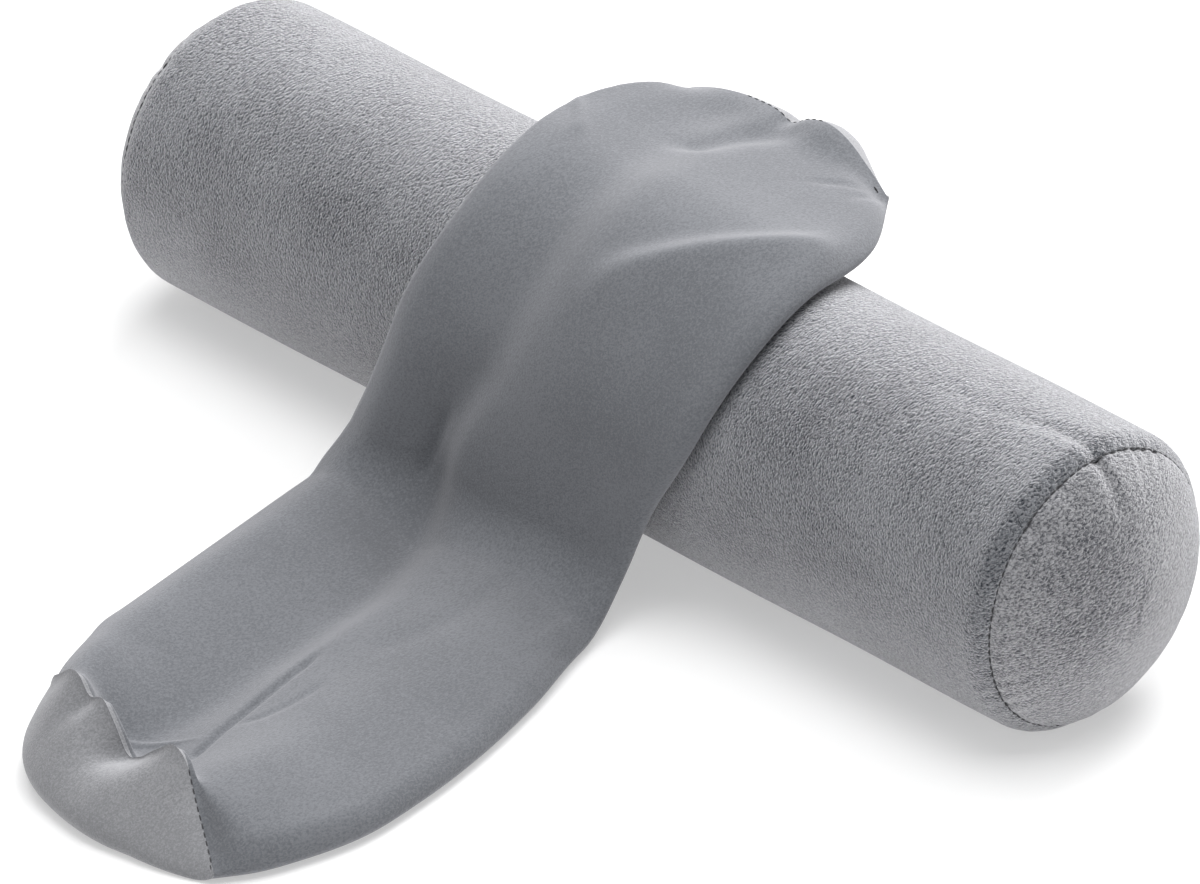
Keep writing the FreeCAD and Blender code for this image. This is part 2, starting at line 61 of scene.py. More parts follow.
back = np.array([
    math.sin(view_azimuth) * math.cos(view_elevation),
    -math.cos(view_azimuth) * math.cos(view_elevation),
    math.sin(view_elevation),
])
right = np.array([math.cos(view_azimuth), math.sin(view_azimuth), 0.0])
up = np.cross(back, right)
aim = np.array([0.0, 0.0, roll_axis_height]) - aim_left * right - aim_down * up
camera = bpy.data.objects.new("camera", bpy.data.cameras.new("camera"))
camera.data.lens = 429.4
camera.data.sensor_width = 36.0
camera.data.clip_end = 40.0
camera.location = aim + back * view_distance
camera.rotation_euler = (math.pi / 2 - view_elevation, 0.0, view_azimuth)
bpy.context.scene.collection.objects.link(camera)
bpy.context.scene.camera = camera


def node_material(name):
    """New material with an empty node tree but for its output and one Principled shader."""
    material = bpy.data.materials.new(name)
    material.use_nodes = True
    shader = material.node_tree.nodes["Principled BSDF"]
    return material, material.node_tree.nodes, material.node_tree.links, shader


def table_top():
    """Flat sheet of paper-white board, 6 m square."""
    half = 3.0
    mesh = bpy.data.meshes.new("table_top")
    mesh.from_pydata(
        [(-half, -half, 0), (half, -half, 0), (half, half, 0), (-half, half, 0)], [], [(0, 1, 2, 3)]
    )
    board = bpy.data.objects.new("table_top", mesh)
    material, _, _, shader = node_material("white_board")
    shader.inputs["Base Color"].default_value = (0.6, 0.6, 0.6, 1)
    shader.inputs["Roughness"].default_value = 0.9
    shader.inputs["Emission Color"].default_value = (1.0, 1.0, 1.0, 1)
    shader.inputs["Emission Strength"].default_value = 0.4
    mesh.materials.append(material)
    bpy.context.scene.collection.objects.link(board)
    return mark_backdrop(board)


def soft_light(name, place, target, size, watts):
    """Square area light that faces a point."""
    lamp = bpy.data.lights.new(name, "AREA")
    lamp.shape = "SQUARE"
    lamp.size = size
    lamp.energy = watts
    holder = bpy.data.objects.new(name, lamp)
    holder.location = place
    toward = np.array(target) - np.array(place)
    tilt = math.atan2(math.hypot(toward[0], toward[1]), -toward[2])
    turn = math.atan2(toward[1], toward[0]) - math.pi / 2
    holder.rotation_euler = (tilt, 0.0, turn)
    bpy.context.scene.collection.objects.link(holder)


table_top()
soft_light("back_light", (-0.5, 1.5, 1.5), (0, 0, 0.05), 1.4, 46.0)
soft_light("top_light", (0.1, -0.1, 2.2), (0, 0, 0), 1.8, 42.0)
soft_light("right_light", (2.6, -0.5, 0.8), (0.1, 0, 0.05), 1.2, 9.0)
soft_light("front_light", (-1.2, -2.4, 1.0), (0, -0.1, 0.05), 1.4, 4.0)
world = bpy.data.worlds.new("studio")
world.use_nodes = True
world.node_tree.nodes["Background"].inputs["Color"].default_value = (1.0, 1.0, 1.0, 1)
world.node_tree.nodes["Background"].inputs["Strength"].default_value = 0.37
bpy.context.scene.world = world
bpy.context.scene.view_settings.view_transform = "Standard"

# Roll cover, tube.
# A rectangle of short-pile velvet sewn into a tube and pulled tight over the foam. It
# rounds off into the end seams, which gather it in small puckers, and its long edges
# roll inwards along the zip. The roll's weight presses a narrow flat into it.
mm = 0.001
tube_low, tube_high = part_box("cover_tube")
seam_x = tube_high[0]
roll_radius = (tube_high[1] - tube_low[1]) / 2
axis_z = roll_axis_height
seam_radius = 46.4 * mm
shoulder = 7.1 * mm
zip_angle = math.radians(-75.0)


def fed(nodes, links, kind, place, **values):
    """Mapping or texture node of a kind that reads a place, with inputs set by name."""
    node = nodes.new("ShaderNode" + kind)
    for key, value in values.items():
        node.inputs[key].default_value = value
    links.new(place, node.inputs["Vector"])
    return node


def two_tones(nodes, links, factor, dark, light, low=0.0, high=1.0):
    """Colour that goes evenly from dark to light as a factor goes from low to high."""
    tone = nodes.new("ShaderNodeValToRGB")
    for stop, place, colour in zip(tone.color_ramp.elements, (low, high), (dark, light)):
        stop.position = place
        stop.color = (*colour, 1)
    links.new(factor, tone.inputs["Fac"])
    return tone.outputs["Color"]


def raised(nodes, links, height, distance, shader):
    """Bump that stands up by a distance where a height is 1, on the shader's normal."""
    bump = nodes.new("ShaderNodeBump")
    bump.inputs["Distance"].default_value = distance
    links.new(height, bump.inputs["Height"])
    links.new(bump.outputs["Normal"], shader.inputs["Normal"])
    return bump


def velvet(name, dark, light, pile_scale, pile_height, sheen, painted_sheen_share):
    """Short-pile cloth: two mixed greys in a fine grain, a soft sheen and a bump of pile.

    The grain is stretched noise that stands up in the bump; a share of a second, broad
    noise brushes the pile this way and that. A painted sheen pales the colour towards
    light grey where the surface is seen edge on, by painted_sheen_share times the square
    of how far it faces away from the camera.
    """
    brushed_share = 0.4
    material, nodes, links, shader = node_material(name)
    place = nodes.new("ShaderNodeTexCoord")
    turn = fed(
        nodes, links, "Mapping", place.outputs["Object"],
        Rotation=(0.3, 0.5, 0.6), Scale=(1.0, 0.5, 1.0),
    )
    grain = fed(
        nodes, links, "TexNoise", turn.outputs["Vector"],
        Scale=pile_scale, Detail=2.0, Roughness=0.55, Distortion=0.6,
    )
    brushed = fed(nodes, links, "TexNoise", place.outputs["Object"], Scale=24.0, Detail=4.0)
    bump = raised(nodes, links, grain.outputs["Fac"], pile_height, shader)
    bump.inputs["Strength"].default_value = 1.0
    both = nodes.new("ShaderNodeMath")
    both.operation = "MULTIPLY_ADD"
    both.inputs[1].default_value = brushed_share
    links.new(brushed.outputs["Fac"], both.inputs[0])
    links.new(grain.outputs["Fac"], both.inputs[2])
    tone = two_tones(nodes, links, both.outputs[0], dark, light, 0.59, 0.83)
    # Painted sheen: the base colour pales towards light grey where the surface is seen edge on from the
    # camera
    facing = nodes.new("ShaderNodeLayerWeight")
    facing.inputs["Blend"].default_value = 0.5
    links.new(bump.outputs["Normal"], facing.inputs["Normal"])
    square = nodes.new("ShaderNodeMath")
    square.operation = "POWER"
    square.inputs[1].default_value = 2.0
    links.new(facing.outputs["Facing"], square.inputs[0])
    painted_sheen_amount = nodes.new("ShaderNodeMath")
    painted_sheen_amount.operation = "MULTIPLY"
    painted_sheen_amount.inputs[1].default_value = painted_sheen_share
    links.new(square.outputs[0], painted_sheen_amount.inputs[0])
    painted_sheen_mix = nodes.new("ShaderNodeMix")
    painted_sheen_mix.data_type = "RGBA"
    painted_sheen_mix.inputs["B"].default_value = (0.80, 0.79, 0.82, 1)
    links.new(painted_sheen_amount.outputs[0], painted_sheen_mix.inputs["Factor"])
    links.new(tone, painted_sheen_mix.inputs["A"])
    links.new(painted_sheen_mix.outputs["Result"], shader.inputs["Base Color"])
    shader.inputs["Roughness"].default_value = 0.9
    shader.inputs["Specular IOR Level"].default_value = 0.15
    shader.inputs["Sheen Weight"].default_value = sheen
    shader.inputs["Sheen Roughness"].default_value = 0.4
    shader.inputs["Sheen Tint"].default_value = (0.95, 0.96, 1.0, 1)
    return material


roll_velvet = velvet(
    "roll_velvet", (0.012, 0.017, 0.025), (0.195, 0.204, 0.220), 1400.0, 0.0013, 0.25, 0.9
)
# The ends' copy of the same velvet in lighter greys: painted light on the ends
round_velvet_painted_lighter = velvet(
    "round_velvet_painted_lighter", (0.055, 0.058, 0.068), (0.32, 0.322, 0.336), 1400.0, 0.0012, 0.3, 0.85
)


def skin(name, points, around=True, tip=None):
    """Smooth mesh over a grid of points, rows by columns.

    around joins the last column to the first; tip is a point that closes the last row.
    """
    rows, columns = points.shape[:2]
    index = np.arange(rows * columns).reshape(rows, columns)
    if around:
        index = np.concatenate([index, index[:, :1]], axis=1)
    faces = np.stack([index[:-1, :-1], index[:-1, 1:], index[1:, 1:], index[1:, :-1]], axis=-1)
    faces = faces.reshape(-1, 4).tolist()
    vertices = points.reshape(-1, 3)
    if tip is not None:
        vertices = np.concatenate([vertices, [tip]])
        last = np.full(index.shape[1] - 1, len(vertices) - 1)
        faces += np.stack([index[-1, :-1], index[-1, 1:], last], axis=-1).tolist()
    mesh = bpy.data.meshes.new(name)
    mesh.from_pydata(vertices.tolist(), [], faces)
    mesh.shade_smooth()
    piece = bpy.data.objects.new(name, mesh)
    bpy.context.scene.collection.objects.link(piece)
    return piece


# Named puckers of the right end seam: degrees from the top towards the near side, depth
# in millimetres, width in degrees and reach in millimetres. The rest are drawn at random.
draw = np.random.default_rng(7)
named_puckers = [
    (0.0, 1.9, 2.6, 22.0), (-9.0, 0.7, 2.2, 9.0), (-15.0, 0.9, 2.0, 14.0), (-21.0, 1.3, 2.2, 20.0),
    (-27.0, 1.2, 2.4, 22.0), (-34.0, 1.0, 2.4, 17.0), (20.0, 0.7, 2.6, 10.0), (41.0, 0.6, 3.0, 13.0),
    (78.0, 0.5, 2.0, 7.0), (103.0, 0.5, 1.8, 8.0), (110.0, 0.9, 1.7, 13.0), (117.0, 0.6, 1.7, 9.0),
    (124.0, 0.9, 1.8, 11.0), (133.0, 0.6, 2.0, 9.0),
]


def pucker_set(seeded, count):
    """Angles in radians, depths and reaches in metres and widths in radians of puckers."""
    angles = np.linspace(0, 360, count, endpoint=False) + draw.uniform(-3, 3, count)
    depths = draw.uniform(0.1, 0.5, count)
    widths = draw.uniform(1.4, 3.0, count)
    reaches = draw.uniform(4, 12, count)
    named = np.array(seeded).reshape(-1, 4)
    rows = np.concatenate([named, np.stack([angles, depths, widths, reaches], axis=1)])
    return np.deg2rad(rows[:, 0]), rows[:, 1] * mm, np.deg2rad(rows[:, 2]), rows[:, 3] * mm


def pucker_depth(angle, distance, puckers):
    """How far the cloth is pulled in, at an angle and a distance from the seam.

    Each pucker is a bell curve across its line; it widens in step with the distance and
    fades by the exponential of the distance over its reach, to the power fade_power.
    """
    fade_power = 1.4
    depth = np.zeros(np.broadcast(angle, distance).shape)
    for centre, deep, wide, reach in zip(*puckers):
        off = (angle - centre + math.pi) % (2 * math.pi) - math.pi
        spread = wide * (1 + distance / reach)
        depth += deep * np.exp(-((off / spread) ** 2)) * np.exp(-((distance / reach) ** fade_power))
    return depth


right_puckers = pucker_set(named_puckers, 34)
left_puckers = pucker_set([(35.0, 1.0, 2.4, 14.0), (150.0, 0.9, 2.2, 12.0)], 40)


def roll_tube():
    """Surface by distance along the roll and angle about it.

    The radius is the roll's, less the shoulder (a power curve into the seam), the puckers
    of both seams, a shallow fold along the top and a trench where the edges roll under
    the zip, plus a low hem beside the trench and a slow waviness. Nothing goes below the
    table.
    """
    fine_reach = 30.0
    fine = np.arange(0.0, fine_reach, 0.8) * mm
    coarse = np.linspace(fine_reach * mm, seam_x, 46)
    from_seam = np.concatenate([fine, coarse])
    x = np.concatenate([-(seam_x - from_seam), (seam_x - from_seam)[::-1][1:]])
    band, band_gap = 9.0, 0.2
    wide = np.linspace(-math.pi, math.pi, 430, endpoint=False)
    wide = wide[np.abs(wide - zip_angle) > (band + band_gap) * mm / roll_radius]
    close = zip_angle + np.linspace(-band, band, 60) * mm / roll_radius
    angle = np.unique(np.concatenate([wide, close]))
    x, angle = np.meshgrid(x, angle, indexing="ij")
    inward = seam_x - np.abs(x)

    shoulder_power = 2.2
    shoulder_share = np.clip(1 - inward / shoulder, 0, 1) ** shoulder_power
    radius = roll_radius - (roll_radius - seam_radius) * shoulder_share
    pull = np.where(
        x > 0,
        pucker_depth(angle, inward, right_puckers),
        pucker_depth(angle, inward, left_puckers),
    )
    pull_share = 0.6
    radius -= pull_share * pull

    fold_depth, fold_width, fold_reach = 0.7 * mm, 0.07, 60 * mm
    fold_start, fold_swing, fold_wave = -4.0, 12.0, 38 * mm
    fold_line = np.deg2rad(fold_start + fold_swing * np.sin(inward / fold_wave))
    fold = np.exp(-(((angle - fold_line) / fold_width) ** 2)) * np.exp(-((inward / fold_reach) ** 2))
    radius -= np.where(x > 0, fold_depth * fold, 0)

    # Slow waviness, and a finer one that winds round the roll
    radius += 0.22 * mm * np.sin(2 * angle + 26 * x) * np.sin(31 * x + 1.3)
    radius += 0.12 * mm * np.sin(5 * angle - 60 * x + 0.7)

    trench_depth, trench_half, trench_edge, trench_reach = 3.1 * mm, 4.6 * mm, 0.28 * mm, 172 * mm
    hem_rise, hem_place, hem_width = 0.35 * mm, 6.0 * mm, 1.2 * mm
    beside = np.abs(angle - zip_angle) * roll_radius
    trench_fade = 4 * mm
    along = np.clip((trench_reach - np.abs(x)) / trench_fade, 0, 1)
    trench = 1 / (1 + np.exp((beside - trench_half) / trench_edge))
    hem = np.exp(-(((beside - hem_place) / hem_width) ** 2))
    radius += along * (hem_rise * hem - trench_depth * trench)

    above_table = 0.05 * mm
    height = np.maximum(axis_z + radius * np.cos(angle), above_table)
    return np.stack([x, -radius * np.sin(angle), height], axis=-1)


def tucked_in(points, end):
    """Adds two rows that carry the cloth into the seam, where its allowance starts."""
    rim = points[-1] if end > 0 else points[0]
    centre = np.array([0.0, 0.0, axis_z])
    rows = []
    for depth, shift in ((0.9 * mm, 0.05 * mm), (3.0 * mm, 0.1 * mm)):
        spoke = rim - centre
        spoke[:, 0] = 0
        length = np.linalg.norm(spoke, axis=1, keepdims=True)
        row = rim - spoke / length * depth
        row[:, 0] = end * (seam_x - shift)
        rows.append(row)
    if end > 0:
        return np.concatenate([points, rows])
    return np.concatenate([rows[::-1], points])


tube_points = tucked_in(tucked_in(roll_tube(), 1), -1)
velvet_tube = skin("velvet_tube", tube_points)
velvet_tube.data.flip_normals()
velvet_tube.data.materials.append(roll_velvet)
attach(velvet_tube, "roll")
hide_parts("cover_tube")

# Roll cover, ends.
# A round of the same velvet closes each end, in lighter greys than the tube: painted light
# on the ends. The foam's rounded end pushes it out into a low dome, and the seam gathers
# its edge in puckers that run towards the middle.
dome_rise = 20.4 * mm
dome_power = 1.5


def roll_end(puckers, side):
    """Surface by steps from seam to middle and angle about the roll.

    The section is a superellipse. Puckers press it in and back in fixed shares, less at
    the seam itself, and fade out before the middle; beside the seam it swells a little.
    Two rows at the start carry the cloth into the seam.
    """
    step = np.linspace(0, 1, 60)[:-1] ** 1.15 * math.pi / 2
    across = seam_radius * np.cos(step) ** (2 / dome_power)
    out = dome_rise * np.sin(step) ** (2 / dome_power)
    run = np.concatenate([[0], np.cumsum(np.hypot(np.diff(across), np.diff(out)))])
    angle = np.linspace(-math.pi, math.pi, 480, endpoint=False)
    run, angle = np.meshgrid(run, angle, indexing="ij")

    pucker_end = 46 * mm
    seam_share, seam_reach = 0.4, 1.2 * mm
    swell, swell_reach = 0.25 * mm, 7 * mm
    pressed_in, pressed_back = 0.62, 0.78
    pull = pucker_depth(angle, run, puckers) * np.clip(1 - run / pucker_end, 0, 1)
    start = np.exp(-run / seam_reach)
    pull = pull * (1 - seam_share * start) - swell * (1 - start) * np.exp(-run / swell_reach)
    radius = across[:, None] - pull * pressed_in
    x = seam_x + out[:, None] - pull * pressed_back
    x += 0.25 * mm * np.sin(3 * angle + 1.0) * np.sin(run / (11 * mm))
    seam_gap = 0.12 * mm
    x = np.maximum(x, seam_x + seam_gap)

    tucks = np.array([[-3.0], [-0.9]]) * mm
    radius = np.concatenate([radius[:1] + tucks, radius])
    x = np.concatenate([np.full_like(x[:2], seam_x + seam_gap), x])
    angle = np.concatenate([angle[:2], angle])
    points = np.stack([side * x, -radius * np.sin(angle), axis_z + radius * np.cos(angle)], axis=-1)
    return points, np.array([side * (seam_x + dome_rise), 0.0, axis_z])


for side, puckers, word in ((1, right_puckers, "right"), (-1, left_puckers, "left")):
    end_points, tip = roll_end(puckers, side)
    velvet_end = skin("velvet_end_" + word, end_points, tip=tip)
    if side > 0:
        velvet_end.data.flip_normals()
    velvet_end.data.materials.append(round_velvet_painted_lighter)
    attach(velvet_end, "roll")
    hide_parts("cover_end_" + word)

# Seam threads.
# Dark sewing thread shows in each seam as a row of short stitches that dip into the cloth.
stitch_length = 2.5 * mm
stitch_gap = 0.5 * mm
stitch_lift = 0.15 * mm
thread_thickness = 0.33 * mm
thread_sink = 0.05 * mm


def thread_material():
    """Twisted dark thread: fine stripes across Object space, with a faint sheen."""
    material, nodes, links, shader = node_material("dark_thread")
    place = nodes.new("ShaderNodeTexCoord")
    twist = fed(nodes, links, "TexWave", place.outputs["Object"], Scale=900.0, Distortion=3.0)
    tone = two_tones(nodes, links, twist.outputs["Fac"], (0.010, 0.010, 0.012), (0.045, 0.045, 0.05))
    links.new(tone, shader.inputs["Base Color"])
    shader.inputs["Roughness"].default_value = 0.8
    shader.inputs["Sheen Weight"].default_value = 0.2
    return material


dark_thread = thread_material()


def stitches(name, middle, along, outward, length, thickness, lift, material):
    """One small spindle per stitch, as arrays: six rings of six points.

    Each ring's size follows half a circle from end to end, and its centre rises by lift
    in the middle of the stitch and sinks by as much at the ends. A hair more than the
    half circle keeps the end rings from closing to a point.
    """
    share = np.array([-1.0, -0.75, -0.3, 0.3, 0.75, 1.0])
    ring = np.linspace(0, 2 * math.pi, 6, endpoint=False)
    aside = np.cross(along, outward)
    size = thickness * np.sqrt(np.clip(1.04 - share**2, 0, 1))
    rise = lift * (1 - 2 * share**2)
    spine = (
        middle[:, None, :]
        + along[:, None, :] * (share * length / 2)[None, :, None]
        + outward[:, None, :] * rise[None, :, None]
    )
    points = (
        spine[:, :, None, :]
        + aside[:, None, None, :] * (size[:, None] * np.cos(ring))[None, :, :, None]
        + outward[:, None, None, :] * (size[:, None] * np.sin(ring))[None, :, :, None]
    )
    count, rings, sides = points.shape[:3]
    index = np.arange(rings * sides).reshape(rings, sides)
    index = np.concatenate([index, index[:, :1]], axis=1)
    one = np.stack([index[:-1, :-1], index[:-1, 1:], index[1:, 1:], index[1:, :-1]], -1).reshape(-1, 4)
    every = (one[None] + (np.arange(count) * rings * sides)[:, None, None]).reshape(-1, 4).tolist()
    lids = np.stack([index[0, :-1][::-1], index[-1, :-1]])
    every += (lids[None] + (np.arange(count) * rings * sides)[:, None, None]).reshape(-1, 6).tolist()
    mesh = bpy.data.meshes.new(name)
    mesh.from_pydata(points.reshape(-1, 3).tolist(), [], every)
    mesh.shade_smooth()
    mesh.materials.append(material)
    piece = bpy.data.objects.new(name, mesh)
    bpy.context.scene.collection.objects.link(piece)
    return piece


for side, word in ((1, "right"), (-1, "left")):
    count = int(2 * math.pi * seam_radius / (stitch_length + stitch_gap))
    turn = np.linspace(-math.pi, math.pi, count, endpoint=False)
    outward = np.stack([np.zeros(count), -np.sin(turn), np.cos(turn)], axis=1)
    along = np.stack([np.zeros(count), -np.cos(turn), -np.sin(turn)], axis=1)
    middle = outward * (seam_radius - thread_sink)
    middle[:, 0] = side * seam_x
    middle[:, 2] += axis_z
    row = stitches(
        "seam_stitches_" + word, middle, along, outward,
        stitch_length, thread_thickness, stitch_lift, dark_thread,
    )
    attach(row, "roll")
    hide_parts("seam_thread_" + word)

# Zip of the roll cover.
# A nylon coil zip closes the cover behind the roll: two woven tapes sewn under the rolled
# edges, a coil of teeth on each, a slider with a flat pull, and stops at both ends.
zip_outward = np.array([0.0, math.sin(-zip_angle), math.cos(zip_angle)])
zip_downward = np.array([0.0, math.cos(zip_angle), -math.sin(-zip_angle)])
roll_tape_reach = 175.0 * mm
roll_tape_radius = 48.95 * mm
roll_tape_width = 8.5 * mm
roll_tape_thickness = 0.55 * mm
roll_tape_aside = 2.25 * mm
tape_steps = 90
roll_teeth = (-165.0 * mm, 158.5 * mm)
roll_teeth_radius = 48.75 * mm
teeth_pitch = 1.25 * mm
teeth_aside = 1.0 * mm
tooth_length = 2.7 * mm
tooth_thickness = 0.5 * mm
tooth_lift = 0.25 * mm


def woven_tape():
    """Twill-like weave: two crossed sets of ridges, in colour and bump, on the tape's UV."""
    material, nodes, links, shader = node_material("zip_tape_weave")
    place = nodes.new("ShaderNodeUVMap")
    place.uv_map = "length_width"
    ridges = []
    for turn in (0.9, -0.9):
        mapping = fed(nodes, links, "Mapping", place.outputs["UV"], Rotation=(0, 0, turn))
        wave = fed(nodes, links, "TexWave", mapping.outputs["Vector"], Scale=260.0, Distortion=0.4)
        ridges.append(wave)
    mixed = nodes.new("ShaderNodeMath")
    mixed.operation = "MAXIMUM"
    links.new(ridges[0].outputs["Fac"], mixed.inputs[0])
    links.new(ridges[1].outputs["Fac"], mixed.inputs[1])
    tone = two_tones(nodes, links, mixed.outputs[0], (0.055, 0.058, 0.064), (0.14, 0.145, 0.155))
    links.new(tone, shader.inputs["Base Color"])
    raised(nodes, links, mixed.outputs[0], 0.00012, shader)
    shader.inputs["Roughness"].default_value = 0.75
    shader.inputs["Sheen Weight"].default_value = 0.2
    return material


def coil_plastic():
    """Satin nylon: slight mottling of colour and gloss in Object space."""
    material, nodes, links, shader = node_material("zip_coil_nylon")
    place = nodes.new("ShaderNodeTexCoord")
    mottle = fed(nodes, links, "TexNoise", place.outputs["Object"], Scale=400.0)
    tone = two_tones(nodes, links, mottle.outputs["Fac"], (0.075, 0.078, 0.085), (0.125, 0.13, 0.14))
    links.new(tone, shader.inputs["Base Color"])
    gloss = nodes.new("ShaderNodeMapRange")
    gloss.inputs["To Min"].default_value = 0.32
    gloss.inputs["To Max"].default_value = 0.5
    links.new(mottle.outputs["Fac"], gloss.inputs["Value"])
    links.new(gloss.outputs["Result"], shader.inputs["Roughness"])
    return material


def painted_metal():
    """Grey enamel over zinc: cloudy colour, with gloss that varies in fine scratches."""
    material, nodes, links, shader = node_material("zip_enamel")
    place = nodes.new("ShaderNodeTexCoord")
    cloud = fed(nodes, links, "TexNoise", place.outputs["Object"], Scale=250.0, Detail=5.0)
    stretch = fed(nodes, links, "Mapping", place.outputs["Object"], Scale=(1.0, 9.0, 3.0))
    scratch = fed(nodes, links, "TexNoise", stretch.outputs["Vector"], Scale=500.0)
    tone = two_tones(
        nodes, links, cloud.outputs["Fac"], (0.11, 0.115, 0.125), (0.19, 0.195, 0.21), 0.3, 0.75
    )
    links.new(tone, shader.inputs["Base Color"])
    gloss = nodes.new("ShaderNodeMapRange")
    gloss.inputs["To Min"].default_value = 0.22
    gloss.inputs["To Max"].default_value = 0.45
    links.new(scratch.outputs["Fac"], gloss.inputs["Value"])
    links.new(gloss.outputs["Result"], shader.inputs["Roughness"])
    shader.inputs["Metallic"].default_value = 0.7
    return material


tape_weave = woven_tape()
coil_nylon = coil_plastic()
zip_enamel = painted_metal()


def tape(name, spine, inward, across, width, thickness):
    """Flat ribbon: a closed section of eight points carried along a spine.

    Its UV map gives the length and the way round in metres, for the weave.
    """
    corners = np.array([
        [0.0, 0.1], [0.04, 0.0], [0.5, -0.1], [0.96, 0.0],
        [1.0, 0.5], [0.96, 1.0], [0.5, 0.9], [0.04, 1.0],
    ])
    side = corners[:, 0][None, :, None] * width
    deep = corners[:, 1][None, :, None] * thickness
    points = spine[:, None, :] + across[:, None, :] * side + inward[:, None, :] * deep
    piece = skin(name, points)
    run = np.concatenate([[0], np.cumsum(np.linalg.norm(np.diff(spine, axis=0), axis=1))])
    mesh = piece.data
    corner_vertex = np.zeros(len(mesh.loops), int)
    mesh.loops.foreach_get("vertex_index", corner_vertex)
    place, corner = np.divmod(corner_vertex, len(corners))
    uv = np.stack([run[place], corners[corner, 0] * width], axis=1)
    mesh.uv_layers.new(name="length_width").data.foreach_set("uv", uv.ravel())
    mesh.materials.append(tape_weave)
    return piece


def recoat(name, material):
    """Gives a carried-over part of the zip its finish."""
    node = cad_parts[name]
    node.data.materials.clear()
    node.data.materials.append(material)


places = np.linspace(-roll_tape_reach, roll_tape_reach, tape_steps)
for word, sign in (("upper", -1), ("lower", 1)):
    spine = np.stack([places, 0 * places, 0 * places + axis_z], axis=1)
    spine += zip_outward * roll_tape_radius + zip_downward * sign * roll_tape_aside
    band = tape(
        "roll_tape_" + word, spine,
        np.tile(-zip_outward, (tape_steps, 1)), np.tile(sign * zip_downward, (tape_steps, 1)),
        roll_tape_width, roll_tape_thickness,
    )
    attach(band, "roll")
    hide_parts("zip_tape_" + word)
    teeth = np.arange(roll_teeth[0], roll_teeth[1], teeth_pitch) + (0.0 if sign > 0 else teeth_pitch / 2)
    middle = np.stack([teeth, 0 * teeth, 0 * teeth + axis_z], axis=1)
    middle += zip_outward * roll_teeth_radius + zip_downward * sign * teeth_aside
    many = (len(teeth), 1)
    coil = stitches(
        "roll_teeth_" + word, middle, np.tile(zip_downward, many), np.tile(zip_outward, many),
        tooth_length, tooth_thickness, tooth_lift, coil_nylon,
    )
    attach(coil, "roll")
    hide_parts("zip_coil_" + word)
for name in ("zip_slider", "zip_pull", "zip_stops"):
    recoat(name, zip_enamel)

# Rows of stitching that hold the rolled edges to the tapes
row_reach = 171.0
row_step = 3.0
row_aside = 6.4 * mm
row_height = 0.33 * mm
row_thickness = 0.3 * mm
row_lift = 0.12 * mm
beads = np.arange(-row_reach, row_reach + 0.5, row_step) * mm
stitch_rows = []
for sign in (-1, 1):
    turn = zip_angle - sign * row_aside / roll_radius
    outward = np.array([0.0, -math.sin(turn), math.cos(turn)])
    middle = np.stack([beads, 0 * beads, 0 * beads + axis_z], axis=1)
    middle += outward * (roll_radius + row_height)
    stitch_rows.append((middle, outward))
middle = np.concatenate([row[0] for row in stitch_rows])
outward = np.repeat(np.array([row[1] for row in stitch_rows]), len(beads), axis=0)
row = stitches(
    "roll_zip_stitches", middle, np.tile([1.0, 0.0, 0.0], (len(middle), 1)), outward,
    stitch_length, row_thickness, row_lift, dark_thread,
)
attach(row, "roll")
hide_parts("zip_stitching")

# Lining and foam.
# Inside the velvet a thin knitted lining bag holds the core, one piece of slow foam cut
# round; both are out of sight while the cover is closed.


def knitted_lining():
    """Fine knit: a bump of crossed waves in Object space over off-white yarn."""
    material, nodes, links, shader = node_material("knitted_lining")
    place = nodes.new("ShaderNodeTexCoord")
    rows = fed(nodes, links, "TexWave", place.outputs["Object"], Scale=320.0, Distortion=2.0)
    tone = two_tones(nodes, links, rows.outputs["Fac"], (0.62, 0.62, 0.61), (0.80, 0.80, 0.79))
    links.new(tone, shader.inputs["Base Color"])
    raised(nodes, links, rows.outputs["Fac"], 0.0002, shader)
    shader.inputs["Roughness"].default_value = 0.9
    return material


def slow_foam():
    """Cream foam: small cells in the bump and a slight yellowing here and there."""
    material, nodes, links, shader = node_material("slow_foam")
    place = nodes.new("ShaderNodeTexCoord")
    cells = fed(nodes, links, "TexVoronoi", place.outputs["Object"], Scale=900.0)
    age = fed(nodes, links, "TexNoise", place.outputs["Object"], Scale=12.0)
    tone = two_tones(nodes, links, age.outputs["Fac"], (0.80, 0.76, 0.62), (0.86, 0.84, 0.74))
    links.new(tone, shader.inputs["Base Color"])
    raised(nodes, links, cells.outputs["Distance"], 0.0003, shader)
    shader.inputs["Roughness"].default_value = 0.95
    return material


lining_knit = knitted_lining()
for name in ("liner_tube", "liner_end_left", "liner_end_right"):
    recoat(name, lining_knit)
recoat("foam_core", slow_foam())

# Spare cover, tube.
# The same velvet tube with nothing in it, zipped shut. It lies on the table, climbs over
# the roll and ends in the air behind it. Emptied, it falls into two soft lobes with a
# valley between them, and its near seam stands up in a wavy rim.
# The spare tube is the roll's cloth in its own greys with less painted sheen, set so its shading
# matches: painted light and shade
spare_velvet = velvet(
    "spare_velvet", (0.123, 0.129, 0.141), (0.168, 0.175, 0.190), 1700.0, 0.00018, 0.08, 0.25
)
# The rounds' copy of the same velvet in lighter greys: painted light on the ends
spare_round_velvet_painted_lighter = velvet(
    "spare_round_velvet_painted_lighter", (0.21, 0.213, 0.224), (0.28, 0.283, 0.296), 1700.0, 0.00025, 0.1, 0.3
)
start_y = -262.0 * mm
lie = 0.35 * mm
climb = math.radians(78.0)
droop = math.radians(8.0)
floor_run = 174.0 * mm
bend_run = 42.2 * mm
climb_run = 36.4 * mm
over_radius = 51.7 * mm
over_run = over_radius * (climb + droop)

# Of the cover itself, in millimetres: length, and the middle height of its two edges
spare_length = 392.0
wall_height = 7.0
fold_height = 4.0


